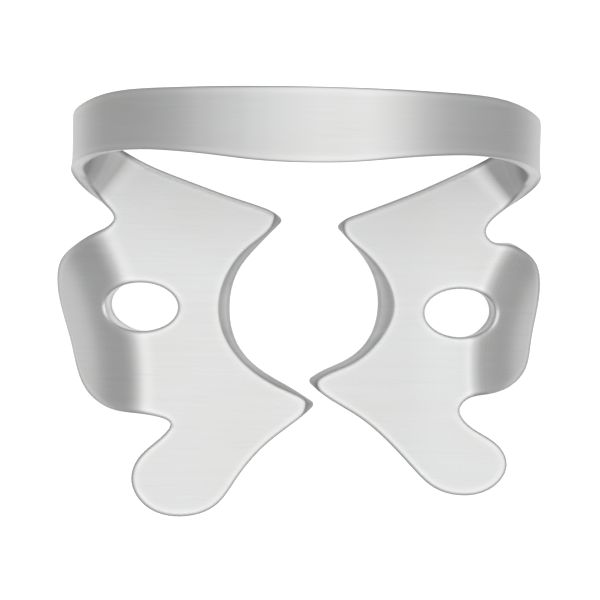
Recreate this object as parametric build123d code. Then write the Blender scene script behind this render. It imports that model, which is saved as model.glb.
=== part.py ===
"""Rubber dam clamp: one sheet of spring steel, punched to an outline, bent and ground.

Two jaws hold a tooth between four prongs and a bow joins them behind the tooth. The
front and outer wings hold the rubber sheet down. X runs across the clamp, Y points
along the dental arch to the bow and Z points up, away from the gum. The origin is the
middle of the tooth opening, level with the undersides of the jaws. Each jaw is drawn
with X as the distance out from the middle, and the left one is then mirrored.
"""
import math
import os

from build123d import *

# Sheet
sheet_thickness = 0.8
tip_rounding = 0.25
overrun = 0.6

# Bow, seen from the front: root bend, short wall, shoulder and crown. The root bend opens towards the back
bow_half_width = 14.5
bow_wall_height = 0.6
bow_shoulder_radius = 10.0
bow_shoulder_tilt = 40.0
front_root_bend_radius = 1.5
back_root_bend_radius = 3.9

# Bow, seen from above: how far back its front and back edges lie
bow_front_crown_y = 8.78
bow_front_shoulder_y = 9.4
bow_front_wall_y = 8.35
bow_back_crown_y = 13.46
bow_back_shoulder_y = 13.11
bow_back_wall_y = 11.4
root_back_y = 8.53
root_back_heading = 25.0

# Bend of the outer wings: tighter at first, then a wider curl
wing_bend_radius = 3.2
wing_bend_tilt = 35.0
wing_curl_radius = 8.5
wing_curl_tilt = 82.0

# Forceps holes
hole_width = 3.02

# Left jaw: distance out from the middle, and place along the arch, of each corner
left_back_tip_out = 1.35
left_back_tip_y = 5.25
left_front_tip_out = -0.88
left_front_tip_y = -6.12
left_front_wing_out = 10.48
left_front_wing_y = -11.1
left_front_notch_out = 8.12
left_front_notch_y = -7.6
left_wing_out = 15.35
left_wing_y = 1.4
left_back_notch_out = 11.88
left_back_notch_y = 5.15
left_root_front_y = 5.75
left_root_heading = 45.0
left_hole_out = 10.1
left_hole_y = -0.3
left_hole_length = 4.63

# Bend line of the left wing: its start outside the front notch, its heading there and its radius
left_bend_gap = 1.05
left_bend_heading = 4.5
left_bend_sweep = 21.9

# Right jaw, smaller than the left
right_back_tip_out = 1.93
right_back_tip_y = 4.93
right_front_tip_out = 0.3
right_front_tip_y = -4.68
right_front_wing_out = 12.81
right_front_wing_y = -9.7
right_front_notch_out = 9.82
right_front_notch_y = -6.3
right_wing_out = 14.68
right_wing_y = 1.8
right_back_notch_out = 11.26
right_back_notch_y = 4.65
right_root_front_y = 6.03
right_root_heading = 38.0
right_hole_out = 9.77
right_hole_y = -0.31
right_hole_length = 4.5

# Bend line of the right wing: its start outside the front notch, its heading there and its radius
right_bend_gap = 0.06
right_bend_heading = 12.0
right_bend_sweep = 14.5

# Outlines between two corners: share along, and share aside to the left, of their line
left_back_edge_shares = [(0.26, 0), (0.634, -0.014), (0.846, -0.028), (0.937, -0.021)]
left_front_edge_shares = [
    (0.065, -0.024), (0.28, -0.082), (0.515, -0.196), (0.656, -0.276), (0.837, -0.263), (0.986, -0.139)]
left_front_wing_shares = [(0.226, -0.098), (0.53, -0.074), (0.876, 0.01)]
left_wing_shares = [(0.09, -0.038), (0.274, -0.207), (0.4, -0.245), (0.68, -0.154)]
left_wing_back_shares = [(0.18, -0.115), (0.464, -0.115), (0.685, -0.058), (0.92, 0.016)]
left_bite_shares = [(0.116, 0.164), (0.221, 0.282), (0.409, 0.365), (0.624, 0.353), (0.77, 0.257), (0.902, 0.104)]
left_relief_shares = [
    (-0.033, 0.042), (0.016, 0.065), (0.107, 0.207), (0.227, 0.345), (0.388, 0.424),
    (0.586, 0.412), (0.793, 0.279), (0.923, 0.11), (0.983, 0.052), (1.024, 0.069)]
right_back_edge_shares = [(0.326, 0.005), (0.609, -0.005), (0.831, -0.018), (0.924, -0.019)]
right_front_edge_shares = [
    (0.08, -0.027), (0.273, -0.059), (0.609, -0.183), (0.724, -0.225), (0.877, -0.204), (0.985, -0.111)]
right_front_wing_shares = [(0.2, -0.084), (0.542, -0.018), (0.8, 0.05)]
right_wing_shares = [(0.06, 0.002), (0.188, -0.11), (0.31, -0.204), (0.45, -0.229), (0.629, -0.164)]
right_wing_back_shares = [(0.19, -0.142), (0.421, -0.169), (0.647, -0.096), (0.885, 0.03)]
right_bite_shares = [(0.099, 0.132), (0.232, 0.268), (0.446, 0.355), (0.688, 0.326), (0.83, 0.212), (0.933, 0.068)]
right_relief_shares = [
    (-0.064, 0.053), (0.014, 0.051), (0.121, 0.188), (0.239, 0.352), (0.428, 0.462),
    (0.654, 0.411), (0.846, 0.256), (0.955, 0.098), (0.996, 0.068), (1.049, 0.093)]


# Edges of the bow: tilt of the sheet, and share of the way from one named place to the next
front_root_shares = [(30, 0.342), (60, 0.642), (90, 0.814)]
front_shoulder_shares = [(75, 0.32), (60, 0.72), (50, 0.90)]
front_crown_shares = [(30, 0.05), (20, 0.40), (10, 0.86)]
back_root_shares = [(30, 0.369), (60, 0.683), (90, 0.915)]
back_shoulder_shares = [(75, 0.36), (60, 0.69), (50, 0.88)]
back_crown_shares = [(30, 0.46), (20, 0.77), (10, 0.94)]

# What follows from the sizes above
tooth_margin = 4 * overrun
half_turn = 180
steep_share = 0.5
upward = Vector(0, 0, 1)
front_root_out = bow_half_width - sheet_thickness - front_root_bend_radius
back_root_out = bow_half_width - sheet_thickness - back_root_bend_radius
wall_top = sheet_thickness + back_root_bend_radius + bow_wall_height
shoulder_out = bow_half_width - bow_shoulder_radius
crown_radius = bow_shoulder_radius + shoulder_out / math.sin(math.radians(bow_shoulder_tilt))
crown_centre = wall_top - (crown_radius - bow_shoulder_radius) * math.cos(math.radians(bow_shoulder_tilt))
reach = 2 * (bow_half_width + bow_back_crown_y)


def heading(angle):
    """Unit direction in plan, at an angle from straight out."""
    return Vector(math.cos(math.radians(angle)), math.sin(math.radians(angle)))


def between(start, end, shares):
    """Points between two corners, each by its share along and aside of their line."""
    run = end - start
    aside = Vector(-run.Y, run.X)
    return [start + run * along + aside * off for along, off in shares]


def through(points, start_direction, end_direction):
    """Smooth curve through points with set directions at both ends."""
    return Spline(points, tangents=[start_direction, end_direction], tangent_scalars=[1, 1])


def jaw_outline(corners, shares, root_heading):
    """Plan outline of one jaw, with its tooth side left standing past the prong tips."""
    root_back, root_front, back_tip, front_tip, front_wing, front_notch, wing, back_notch = corners
    back_edge = [root_back] + between(root_back, back_tip, shares["back edge"]) + [back_tip]
    front_edge = [front_tip]
    front_edge += between(front_tip, front_wing, shares["front edge"]) + [front_wing]
    front_edge += between(front_wing, front_notch, shares["front wing"]) + [front_notch]
    front_edge += between(front_notch, wing, shares["wing"]) + [wing]
    front_edge += between(wing, back_notch, shares["wing back"]) + [back_notch, root_front]
    back_way = (back_edge[-1] - back_edge[-2]).normalized()
    front_way = (front_edge[1] - front_edge[0]).normalized()
    past_back_tip = back_tip + back_way * overrun
    past_front_tip = front_tip - front_way * overrun
    edges = [
        through(back_edge, heading(180 + root_back_heading), back_way),
        Line(back_tip, past_back_tip),
        Line(past_back_tip, past_front_tip),
        Line(past_front_tip, front_tip),
        through(front_edge, front_way, heading(root_heading)),
        Line(root_front, root_back),
    ]
    return make_face(edges)


def jaw_plate(outline, bend_point, bend_heading, bend_sweep, back_notch_y):
    """Jaw with this plan outline, flat but for the outer wing, which is bent down along an arc."""
    inward = heading(bend_heading) * -1
    bend_centre = bend_point - inward * bend_sweep
    near = bend_centre.X - reach
    strip = Polyline(
        (near, bend_point.Y), (near, back_notch_y), (bend_centre.X, back_notch_y),
        (bend_centre.X, bend_point.Y), close=True)
    wing_zone = (Pos(bend_centre.X, bend_centre.Y) * Circle(bend_sweep)) & make_face(strip)
    flat = (outline - wing_zone).face().moved(Pos(0, 0, sheet_thickness))
    wing_prism = extrude((outline & wing_zone).moved(Pos(0, 0, -reach)), 2 * reach)
    section = Plane(
        origin=bend_centre + upward * sheet_thickness, x_dir=inward, z_dir=inward.cross(upward))
    tight = CenterArc((bend_sweep, -wing_bend_radius), wing_bend_radius, 90, wing_bend_tilt)
    tight_centre = Vector(bend_sweep, -wing_bend_radius)
    curl_centre = tight @ 1 + (tight_centre - tight @ 1) * (wing_curl_radius / wing_bend_radius)
    curl = CenterArc(
        (curl_centre.X, curl_centre.Y), wing_curl_radius,
        90 + wing_bend_tilt, wing_curl_tilt - wing_bend_tilt)
    faces = [flat]
    for arc in (tight, curl):
        profile = (section * arc).edge().rotate(Axis(bend_centre, upward), -half_turn / 2)
        band = Face.revolve(profile, half_turn, Axis(bend_centre, upward))
        faces += (band & wing_prism).faces()
    return Solid.thicken(Shell(faces), -sheet_thickness)


def tooth_cutter(back_tip, front_tip, bite_shares, relief_shares):
    """Space that the tooth takes: the bite line on the underside, flaring to the relief line on top."""
    bite = [back_tip] + between(back_tip, front_tip, bite_shares) + [front_tip]
    relief = between(back_tip, front_tip, relief_shares)
    levels = []
    for curve, level in ((bite, 0), (relief, sheet_thickness)):
        back_way = (curve[0] - curve[1]).normalized()
        front_way = (curve[-1] - curve[-2]).normalized()
        back_end = curve[0] + back_way * tooth_margin
        front_end = curve[-1] + front_way * tooth_margin
        far = Vector(tooth_margin, 0)
        edges = [
            through([back_end] + curve + [front_end], back_way * -1, front_way),
            Line(front_end, front_end - far),
            Line(front_end - far, back_end - far),
            Line(back_end - far, back_end),
        ]
        levels.append(make_face(edges).moved(Pos(0, 0, level)))
    under, over = levels
    below = extrude(under, -overrun)
    above = extrude(over, overrun)
    return loft([under, over], ruled=True) + below + above


def round_tip(jaw, tip):
    """Jaw with the rising edge at one prong tip rounded."""
    rising = jaw.edges().filter_by(lambda edge: abs((edge % 0.5).Z) > steep_share)
    return jaw.fillet(tip_rounding, [rising.sort_by_distance(tip)[0]])


def bow_point(side, tilt, depth):
    """Place on the bow's front view where the sheet leans by this tilt, at a depth below its outer face."""
    lean = math.radians(tilt)
    if tilt <= bow_shoulder_tilt:
        radius = crown_radius - depth
        return Vector(side * radius * math.sin(lean), 0, crown_centre + radius * math.cos(lean))
    radius = bow_shoulder_radius - depth
    return Vector(side * (shoulder_out + radius * math.sin(lean)), 0, wall_top + radius * math.cos(lean))


def root_point(side, tilt, depth, bend_radius):
    """The same on a root bend of this radius, where the sheet turns up from the jaw."""
    lean = math.radians(tilt)
    wall_foot = sheet_thickness + bend_radius
    root_out = bow_half_width - wall_foot
    radius = wall_foot - depth
    return Vector(side * (root_out + radius * math.sin(lean)), 0, wall_foot - radius * math.cos(lean))


def bow_edge(side, depth, root, places, stretches):
    """Half of one edge of the bow at a depth below its outer face, from its root up to the crown."""
    root_y, root_heading, bend_radius = root
    wall_y, shoulder_y, crown_y = places
    root_shares, shoulder_shares, crown_shares = stretches
    root_stations = [(0, root_y)]
    root_stations += [(tilt, root_y + (wall_y - root_y) * share) for tilt, share in root_shares]
    stations = [(90, wall_y)]
    stations += [(tilt, wall_y + (shoulder_y - wall_y) * share) for tilt, share in shoulder_shares]
    stations.append((bow_shoulder_tilt, shoulder_y))
    stations += [(tilt, shoulder_y + (crown_y - shoulder_y) * share) for tilt, share in crown_shares]
    stations.append((0, crown_y))

    def line_at(level):
        line = [root_point(side, tilt, level, bend_radius) + Vector(0, y) for tilt, y in root_stations]
        return line + [bow_point(side, tilt, level) + Vector(0, y) for tilt, y in stations]

    points = line_at(depth)
    middle = [Vector(point.X, 0, point.Z) for point in line_at(sheet_thickness / 2)]
    marks = [0]
    for near, far in zip(middle, middle[1:]):
        marks.append(marks[-1] + (far - near).length)
    root_rate = (bend_radius + sheet_thickness - depth) / (bend_radius + sheet_thickness / 2)
    crown_rate = (crown_radius - depth) / (crown_radius - sheet_thickness / 2)
    root_way = Vector(side, math.tan(math.radians(root_heading))) * root_rate
    crown_way = Vector(-side, 0) * crown_rate
    return Edge.make_spline(points, tangents=[root_way, crown_way], parameters=marks, scale=False)


def bow_half(side, front_root):
    """Half of the bow, with both edges square to the sheet."""
    rails = []
    for depth in (sheet_thickness, 0):
        rails.append(bow_edge(
            side, depth, front_root, (bow_front_wall_y, bow_front_shoulder_y, bow_front_crown_y),
            (front_root_shares, front_shoulder_shares, front_crown_shares)))
    for depth in (0, sheet_thickness):
        rails.append(bow_edge(
            side, depth, (root_back_y, root_back_heading, back_root_bend_radius),
            (bow_back_wall_y, bow_back_shoulder_y, bow_back_crown_y),
            (back_root_shares, back_shoulder_shares, back_crown_shares)))
    faces = []
    for end in (0, 1):
        corners = [rail @ end for rail in rails]
        faces.append(Face(Wire(Polyline(*corners, close=True).edges())))
    for rail, neighbour in zip(rails, rails[1:] + rails[:1]):
        faces.append(Face.make_surface_from_curves(rail, neighbour))
    return Solid(Shell(faces))


left_corners = [
    Vector(back_root_out, root_back_y),
    Vector(front_root_out, left_root_front_y),
    Vector(left_back_tip_out, left_back_tip_y),
    Vector(left_front_tip_out, left_front_tip_y),
    Vector(left_front_wing_out, left_front_wing_y),
    Vector(left_front_notch_out, left_front_notch_y),
    Vector(left_wing_out, left_wing_y),
    Vector(left_back_notch_out, left_back_notch_y),
]
left_shares = {
    "back edge": left_back_edge_shares,
    "front edge": left_front_edge_shares,
    "front wing": left_front_wing_shares,
    "wing": left_wing_shares,
    "wing back": left_wing_back_shares,
}
left_hole = Pos(left_hole_out, left_hole_y) * Ellipse(left_hole_length / 2, hole_width / 2)
left_bend_point = Vector(left_front_notch_out + left_bend_gap, left_front_notch_y)
left_outline = jaw_outline(left_corners, left_shares, left_root_heading) - left_hole
left_jaw = jaw_plate(
    left_outline, left_bend_point, left_bend_heading, left_bend_sweep, left_back_notch_y)

right_corners = [
    Vector(back_root_out, root_back_y),
    Vector(front_root_out, right_root_front_y),
    Vector(right_back_tip_out, right_back_tip_y),
    Vector(right_front_tip_out, right_front_tip_y),
    Vector(right_front_wing_out, right_front_wing_y),
    Vector(right_front_notch_out, right_front_notch_y),
    Vector(right_wing_out, right_wing_y),
    Vector(right_back_notch_out, right_back_notch_y),
]
right_shares = {
    "back edge": right_back_edge_shares,
    "front edge": right_front_edge_shares,
    "front wing": right_front_wing_shares,
    "wing": right_wing_shares,
    "wing back": right_wing_back_shares,
}
right_hole = Pos(right_hole_out, right_hole_y) * Ellipse(right_hole_length / 2, hole_width / 2)
right_bend_point = Vector(right_front_notch_out + right_bend_gap, right_front_notch_y)
right_outline = jaw_outline(right_corners, right_shares, right_root_heading) - right_hole
right_jaw = jaw_plate(
    right_outline, right_bend_point, right_bend_heading, right_bend_sweep, right_back_notch_y)

left_jaw -= tooth_cutter(left_corners[2], left_corners[3], left_bite_shares, left_relief_shares)
right_jaw -= tooth_cutter(right_corners[2], right_corners[3], right_bite_shares, right_relief_shares)
for tip in left_corners[2:4]:
    left_jaw = round_tip(left_jaw, tip)
for tip in right_corners[2:4]:
    right_jaw = round_tip(right_jaw, tip)
left_bow = bow_half(-1, (left_root_front_y, left_root_heading, front_root_bend_radius))
right_bow = bow_half(1, (right_root_front_y, right_root_heading, front_root_bend_radius))
clamp = mirror(left_jaw, about=Plane.YZ) + left_bow + right_bow + right_jaw
clamp.label = "clamp"
os.makedirs("parts", exist_ok=True)
export_step(clamp, "parts/clamp.step")
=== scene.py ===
import math

import bpy
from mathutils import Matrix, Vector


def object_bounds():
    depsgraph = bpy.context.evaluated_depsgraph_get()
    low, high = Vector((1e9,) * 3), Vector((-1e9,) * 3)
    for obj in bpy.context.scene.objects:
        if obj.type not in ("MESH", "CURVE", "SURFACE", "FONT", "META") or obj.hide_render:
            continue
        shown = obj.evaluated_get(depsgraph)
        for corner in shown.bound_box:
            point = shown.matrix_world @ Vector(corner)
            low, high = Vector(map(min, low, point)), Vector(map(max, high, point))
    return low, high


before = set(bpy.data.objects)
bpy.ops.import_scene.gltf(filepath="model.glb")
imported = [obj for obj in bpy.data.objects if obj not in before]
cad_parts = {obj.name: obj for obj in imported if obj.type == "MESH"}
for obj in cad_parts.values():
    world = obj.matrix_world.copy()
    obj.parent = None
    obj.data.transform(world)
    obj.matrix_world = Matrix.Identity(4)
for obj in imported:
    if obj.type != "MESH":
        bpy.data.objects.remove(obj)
cad_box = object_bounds()


# The clamp is one strip of spring steel, blanked and bent, as such clamps are.
# The photo shows fine lines across it, as a belt leaves them, slanted bites and
# rounded rims. The tones set by place are painted light and shade, matched to the photo, not to
# a finish.
mm = 0.001
sheet_top = 0.8 * mm


def steel_material():
    """Satin steel, with painted light and shade set by place to match the shading that the
    photo shows.
    """
    mat = bpy.data.materials.new("satin_steel")
    mat.use_nodes = True
    nodes, links = mat.node_tree.nodes, mat.node_tree.links
    shader = nodes["Principled BSDF"]
    place = nodes.new("ShaderNodeTexCoord").outputs["Object"]
    normal = nodes.new("ShaderNodeNewGeometry").outputs["Normal"]

    def noise(along, across, detail, rough):
        """Noise drawn out along the belt lines, in cells per metre along and across them."""
        stretch = nodes.new("ShaderNodeMapping")
        stretch.inputs["Scale"].default_value = (along, across, along)
        links.new(place, stretch.inputs["Vector"])
        texture = nodes.new("ShaderNodeTexNoise")
        texture.inputs["Scale"].default_value = 1.0
        texture.inputs["Detail"].default_value = detail
        texture.inputs["Roughness"].default_value = rough
        links.new(stretch.outputs["Vector"], texture.inputs["Vector"])
        return texture.outputs["Fac"]

    def parts_of(vector):
        split = nodes.new("ShaderNodeSeparateXYZ")
        links.new(vector, split.inputs["Vector"])
        return split.outputs

    def vector_math(operation, first, second=None):
        node = nodes.new("ShaderNodeVectorMath")
        node.operation = operation
        links.new(first, node.inputs[0])
        if isinstance(second, tuple):
            node.inputs[1].default_value = second
        elif second:
            links.new(second, node.inputs[1])
        return node.outputs

    def spread(value, span, new_span):
        """The value, carried from one span to another and held at its ends."""
        remap = nodes.new("ShaderNodeMapRange")
        remap.inputs["From Min"].default_value, remap.inputs["From Max"].default_value = span
        remap.inputs["To Min"].default_value, remap.inputs["To Max"].default_value = new_span
        links.new(value, remap.inputs["Value"])
        return remap.outputs["Result"]

    def fade(value, start, end):
        """0 up to start and 1 from end on, either way round."""
        return spread(value, (start, end), (0.0, 1.0))

    def multiply_add(value, factor, added):
        """The value times a factor, plus what is added, each a socket or a number."""
        node = nodes.new("ShaderNodeMath")
        node.operation = "MULTIPLY_ADD"
        for socket, term in zip(node.inputs, (value, factor, added)):
            if isinstance(term, float):
                socket.default_value = term
            else:
                links.new(term, socket)
        return node.outputs["Value"]

    def product(*values):
        result = values[0]
        for value in values[1:]:
            result = multiply_add(result, value, 0.0)
        return result

    def absolute(value):
        node = nodes.new("ShaderNodeMath")
        node.operation = "ABSOLUTE"
        links.new(value, node.inputs[0])
        return node.outputs["Value"]

    def toned(tone, mask, level):
        """The tone, times the level where the mask is 1."""
        return product(tone, spread(mask, (0.0, 1.0), (1.0, level)))

    # facing_up is 1 on a level top, 0 on an upright wall and -1 on a level
    # underside. The spans of facing below say how steep the steel is where a tone
    # starts and ends. Tones for steep steel reach the level underside as well.
    x, y, z = parts_of(place)
    facing_up = parts_of(normal)["Z"]
    from_middle = vector_math("LENGTH", place)["Value"]

    # Fine and broad belt lines, some darker scratches and a cloudy tone.
    usual = (0.3, 0.7)
    rare = (0.66, 0.74)
    fine_tones, broad_tones = (0.990, 1.008), (0.990, 1.010)
    scratch_tones, cloud_tones = (1.0, 0.975), (0.985, 1.012)
    fine = noise(along=220, across=6500, detail=2, rough=0.5)
    broad = noise(along=110, across=2600, detail=2, rough=0.5)
    scratch = noise(along=300, across=5200, detail=1, rough=0.4)
    cloud = noise(along=160, across=260, detail=3, rough=0.5)
    tone = product(
        spread(fine, usual, fine_tones),
        spread(broad, usual, broad_tones),
        spread(scratch, rare, scratch_tones),
        spread(cloud, usual, cloud_tones))

    # The bites are slanted walls, with painted shade at the top rim, painted light
    # at the lower one, and painted shade again out at the prongs, as the photo shows them.
    bite_inner, bite_outer = 6.8 * mm, 7.4 * mm
    prong_start, prong_end = 3.6 * mm, 5.0 * mm
    prong_painted_shade = 0.80
    lower_rim_painted_light, top_rim_painted_shade = 0.22, -0.18
    bite_facing = (0.95, 0.85)
    ground = product(
        fade(from_middle, bite_outer, bite_inner),
        fade(facing_up, *bite_facing))
    painted_light_down_the_wall = spread(z, (0.0, sheet_top), (lower_rim_painted_light, top_rim_painted_shade))
    tone = product(tone, multiply_add(ground, painted_light_down_the_wall, 1.0))
    tone = toned(tone, product(ground, fade(absolute(y), prong_start, prong_end)), prong_painted_shade)

    # The steep edges of the jaws get painted shade, and the wall of the left forceps
    # hole a painted highlight, as the photo shows them.
    jaw_reach_inner, jaw_reach_outer = 12.2 * mm, 12.6 * mm
    steep_edge_facing = (0.66, 0.60)
    steep_edge_painted_shade = 0.88
    steep_edge_shade_mask = product(
        fade(from_middle, jaw_reach_outer, jaw_reach_inner),
        fade(facing_up, *steep_edge_facing))
    tone = toned(tone, steep_edge_shade_mask, steep_edge_painted_shade)
    left_hole = (-9.8 * mm, -0.2 * mm, 0.2 * mm)
    hole_inner, hole_outer = 2.6 * mm, 3.0 * mm
    bore_facing = (0.74, 0.62)
    bore_painted_highlight = 1.45
    bore = product(
        fade(vector_math("DISTANCE", place, left_hole)["Value"], hole_outer, hole_inner),
        fade(facing_up, *bore_facing))
    tone = toned(tone, bore, bore_painted_highlight)

    # The right jaw's flat top gets a little painted shade that the left one's lacks,
    # but not by its hole, and both get painted shade at the back, below the bow.
    flat_z, risen_z = 0.9 * mm, 1.8 * mm
    right_start, right_end = 0.5 * mm, 3.5 * mm
    by_hole_start, by_hole_end = 6.5 * mm, 8.5 * mm
    level_facing = (0.95, 0.99)
    right_painted_shade = 0.965
    back_start, back_end = 1.5 * mm, 7.5 * mm
    back_painted_shade = 0.88
    low = fade(z, risen_z, flat_z)
    right_top = product(
        fade(x, right_start, right_end),
        fade(x, by_hole_end, by_hole_start),
        fade(facing_up, *level_facing),
        low)
    tone = toned(tone, right_top, right_painted_shade)
    tone = toned(tone, product(fade(y, back_start, back_end), low), back_painted_shade)

    # Where it starts to bend, the right wing gets painted shade that the left one lacks.
    wing_start, wing_end = 7.0 * mm, 8.0 * mm
    bent_z = 0.72 * mm
    bend_start_facing, bend_end_facing = (0.975, 0.94), (0.79, 0.89)
    right_bend_painted_shade = 0.77
    right_bend = product(
        fade(x, wing_start, wing_end),
        fade(z, sheet_top, bent_z),
        fade(facing_up, *bend_start_facing),
        fade(facing_up, *bend_end_facing))
    tone = toned(tone, right_bend, right_bend_painted_shade)

    # Painted shade makes the inner side of each root bend a dark pocket, as in the photo.
    root_start, root_end = 0.82 * mm, 1.00 * mm
    root_top_start, root_top_end = 3.5 * mm, 6.0 * mm
    root_facing = (0.85, 0.95)
    root_painted_shade = 0.58
    root_bend = product(
        fade(z, root_start, root_end),
        fade(facing_up, *root_facing),
        fade(z, root_top_end, root_top_start))
    tone = toned(tone, root_bend, root_painted_shade)

    # The bow's upright sides get painted light, brighter than its shoulders, and the
    # steel to both sides of its crown painted shade.
    side_start, side_end = 2.0 * mm, 5.0 * mm
    side_facing = (0.60, 0.30)
    side_painted_light = 1.20
    side = product(fade(z, side_start, side_end), fade(facing_up, *side_facing))
    tone = toned(tone, side, side_painted_light)
    bow_start, bow_end = 4.0 * mm, 10.0 * mm
    crown_x = 2.3 * mm
    crown_start, crown_end = 1.5 * mm, 5.0 * mm
    shoulder_start, shoulder_end = 6.5 * mm, 9.0 * mm
    beside_crown_painted_shade = 0.86
    bow = fade(z, bow_start, bow_end)
    from_crown = absolute(multiply_add(x, 1.0, -crown_x))
    beside = product(
        fade(from_crown, crown_start, crown_end),
        fade(from_crown, shoulder_end, shoulder_start))
    tone = toned(tone, product(bow, beside), beside_crown_painted_shade)

    # The rims look rounded, with a painted highlight, a bright band, beside them. The band
    # lies where the wider Bevel's normal starts to lean, and stops short of the edge itself.
    jaw_rim_radius, bow_rim_radius = 0.5 * mm, 0.3 * mm
    band_width = 1.0 * mm
    rim_samples, band_samples = 12, 8
    lean_start, lean_end = (0.9995, 0.97), (0.80, 0.92)
    band_painted_highlight = 1.09
    rim = nodes.new("ShaderNodeBevel")
    rim.samples = rim_samples
    links.new(spread(bow, (0.0, 1.0), (jaw_rim_radius, bow_rim_radius)), rim.inputs["Radius"])
    wide_rim = nodes.new("ShaderNodeBevel")
    wide_rim.samples = band_samples
    wide_rim.inputs["Radius"].default_value = band_width
    lean = vector_math("DOT_PRODUCT", wide_rim.outputs["Normal"], normal)["Value"]
    band = product(fade(lean, *lean_start), fade(lean, *lean_end))
    tone = toned(tone, band, band_painted_highlight)

    warm_steel = (0.80, 0.798, 0.79, 1)
    cool_steel = (0.79, 0.795, 0.80, 1)
    cloud_mix = (0.35, 0.65)
    tint = nodes.new("ShaderNodeMix")
    tint.data_type = "RGBA"
    tint.inputs["A"].default_value = warm_steel
    tint.inputs["B"].default_value = cool_steel
    links.new(fade(cloud, *cloud_mix), tint.inputs["Factor"])
    colour = nodes.new("ShaderNodeVectorMath")
    colour.operation = "SCALE"
    links.new(tint.outputs["Result"], colour.inputs[0])
    links.new(tone, colour.inputs["Scale"])
    links.new(colour.outputs["Vector"], shader.inputs["Base Color"])

    # The bites and the bow are set rougher than the rest.
    belt_roughness = (0.27, 0.29)
    ground_roughness = 0.15
    bow_share = 0.5
    dull = multiply_add(bow, bow_share, ground)
    roughness = multiply_add(dull, ground_roughness, spread(broad, usual, belt_roughness))
    links.new(roughness, shader.inputs["Roughness"])

    line_depth = 0.01 * mm
    line_strength = 0.015
    line_stretch = 0.4
    across_belt = (0, 1, 0)
    bump = nodes.new("ShaderNodeBump")
    bump.inputs["Strength"].default_value = line_strength
    bump.inputs["Distance"].default_value = line_depth
    links.new(fine, bump.inputs["Height"])
    links.new(rim.outputs["Normal"], bump.inputs["Normal"])
    links.new(bump.outputs["Normal"], shader.inputs["Normal"])

    along_strip = vector_math("CROSS_PRODUCT", normal, across_belt)["Vector"]
    links.new(along_strip, shader.inputs["Tangent"])
    shader.inputs["Anisotropic"].default_value = line_stretch
    shader.inputs["Metallic"].default_value = 1.0
    return mat


steel = steel_material()
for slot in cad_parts["clamp"].material_slots:
    slot.material = steel


# The camera looks straight down on the jaws from far off, turned a little,
# which gives the frame of the photograph.
image_width = 37.27 * mm
lens_mm = 1600.0
sensor_mm = 36.0
aim_x, aim_y, aim_z = -0.22 * mm, 0.31 * mm, 0.6 * mm
turn_degrees = 1.1
camera_data = bpy.data.cameras.new("camera")
camera_data.lens = lens_mm
camera_data.sensor_width = sensor_mm
camera = bpy.data.objects.new("camera", camera_data)
camera.location = (aim_x, aim_y, aim_z + image_width * lens_mm / sensor_mm)
camera.rotation_euler = (0, 0, math.radians(turn_degrees))
bpy.context.scene.collection.objects.link(camera)
bpy.context.scene.camera = camera


# The floor is a plain white table. The camera sees it white. Mirrored rays get
# a dimmer glow instead, because the wings' dark bands would wash out in white.
floor_half = 1.5
floor_z = cad_box[0].z
floor_mesh = bpy.data.meshes.new("floor")
floor_mesh.from_pydata(
    [
        (-floor_half, -floor_half, floor_z),
        (floor_half, -floor_half, floor_z),
        (floor_half, floor_half, floor_z),
        (-floor_half, floor_half, floor_z),
    ],
    [],
    [(0, 1, 2, 3)],
)
floor = bpy.data.objects.new("floor", floor_mesh)
bpy.context.scene.collection.objects.link(floor)


def straight_rays(nodes, links, path):
    """1 for rays that come from the camera, past the object or through it."""
    straight = nodes.new("ShaderNodeMath")
    straight.operation = "MAXIMUM"
    links.new(path.outputs["Is Camera Ray"], straight.inputs[0])
    links.new(path.outputs["Is Transmission Ray"], straight.inputs[1])
    return straight.outputs["Value"]


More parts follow.
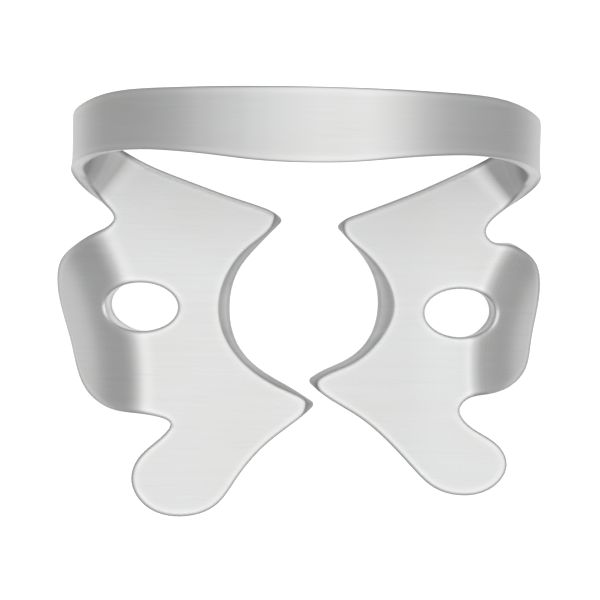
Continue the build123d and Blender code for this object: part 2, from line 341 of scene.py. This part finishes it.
def table_material():
    """White paint to the camera, and in mirrored rays a glow that falls off outwards."""
    paint = (0.8, 0.8, 0.8, 1)
    seen_glow = 0.7
    near_level, far_level = 0.70, 0.42
    near_reach, far_reach = 15 * mm, 48 * mm
    mat = bpy.data.materials.new("white_table")
    mat.use_nodes = True
    nodes, links = mat.node_tree.nodes, mat.node_tree.links
    nodes.clear()
    path = nodes.new("ShaderNodeLightPath")

    place = nodes.new("ShaderNodeTexCoord")
    away = nodes.new("ShaderNodeVectorMath")
    away.operation = "LENGTH"
    links.new(place.outputs["Object"], away.inputs[0])
    pool = nodes.new("ShaderNodeMapRange")
    pool.interpolation_type = "SMOOTHSTEP"
    pool.inputs["From Min"].default_value = near_reach
    pool.inputs["From Max"].default_value = far_reach
    pool.inputs["To Min"].default_value = near_level
    pool.inputs["To Max"].default_value = far_level
    links.new(away.outputs["Value"], pool.inputs["Value"])
    mirrored_pool_glow = nodes.new("ShaderNodeEmission")
    links.new(pool.outputs["Result"], mirrored_pool_glow.inputs["Strength"])

    diffuse = nodes.new("ShaderNodeBsdfDiffuse")
    diffuse.inputs["Color"].default_value = paint
    seen = nodes.new("ShaderNodeMath")
    seen.operation = "MULTIPLY"
    seen.inputs[1].default_value = seen_glow
    links.new(straight_rays(nodes, links, path), seen.inputs[0])
    glow = nodes.new("ShaderNodeEmission")
    links.new(seen.outputs["Value"], glow.inputs["Strength"])
    white = nodes.new("ShaderNodeAddShader")
    links.new(diffuse.outputs["BSDF"], white.inputs[0])
    links.new(glow.outputs["Emission"], white.inputs[1])

    mirrored = nodes.new("ShaderNodeMixShader")
    out = nodes.new("ShaderNodeOutputMaterial")
    links.new(path.outputs["Is Glossy Ray"], mirrored.inputs["Fac"])
    links.new(white.outputs["Shader"], mirrored.inputs[1])
    links.new(mirrored_pool_glow.outputs["Emission"], mirrored.inputs[2])
    links.new(mirrored.outputs["Shader"], out.inputs["Surface"])
    return mat


floor_mesh.materials.append(table_material())


# The studio is one soft light: a broad pale sky overhead, a little to the right,
# that falls off to a grey room at the height of the clamp. Only camera and
# transmission rays see the white backdrop.
sky_axis = (0.13, 0.0, 0.99)
sky_stops = [(-0.3, 0.39), (0.35, 0.39), (0.66, 0.60), (0.84, 1.08), (0.93, 1.12), (0.99, 0.92)]
white_backdrop = (1, 1, 1, 1)
world = bpy.data.worlds.new("studio")
bpy.context.scene.world = world
world.use_nodes = True
nodes, links = world.node_tree.nodes, world.node_tree.links
direction = nodes.new("ShaderNodeTexCoord")
height = nodes.new("ShaderNodeVectorMath")
height.operation = "DOT_PRODUCT"
height.inputs[1].default_value = sky_axis
links.new(direction.outputs["Generated"], height.inputs[0])
along_ramp = nodes.new("ShaderNodeMapRange")
along_ramp.inputs["From Min"].default_value = -1.0
along_ramp.inputs["From Max"].default_value = 1.0
links.new(height.outputs["Value"], along_ramp.inputs["Value"])
sky = nodes.new("ShaderNodeValToRGB")
sky.color_ramp.interpolation = "EASE"
ramp_middle = 0.5
while len(sky.color_ramp.elements) < len(sky_stops):
    sky.color_ramp.elements.new(ramp_middle)
for element, (cosine, level) in zip(sky.color_ramp.elements, sky_stops):
    element.position = (cosine + 1) / 2
    element.color = (level, level, level, 1)
links.new(along_ramp.outputs["Result"], sky.inputs["Fac"])
studio_light = nodes["Background"]
links.new(sky.outputs["Color"], studio_light.inputs["Color"])

path = nodes.new("ShaderNodeLightPath")
backdrop = nodes.new("ShaderNodeBackground")
backdrop.inputs["Color"].default_value = white_backdrop
chosen = nodes.new("ShaderNodeMixShader")
links.new(straight_rays(nodes, links, path), chosen.inputs["Fac"])
links.new(studio_light.outputs["Background"], chosen.inputs[1])
links.new(backdrop.outputs["Background"], chosen.inputs[2])
links.new(chosen.outputs["Shader"], nodes["World Output"].inputs["Surface"])

bpy.context.scene.view_settings.view_transform = "Standard"
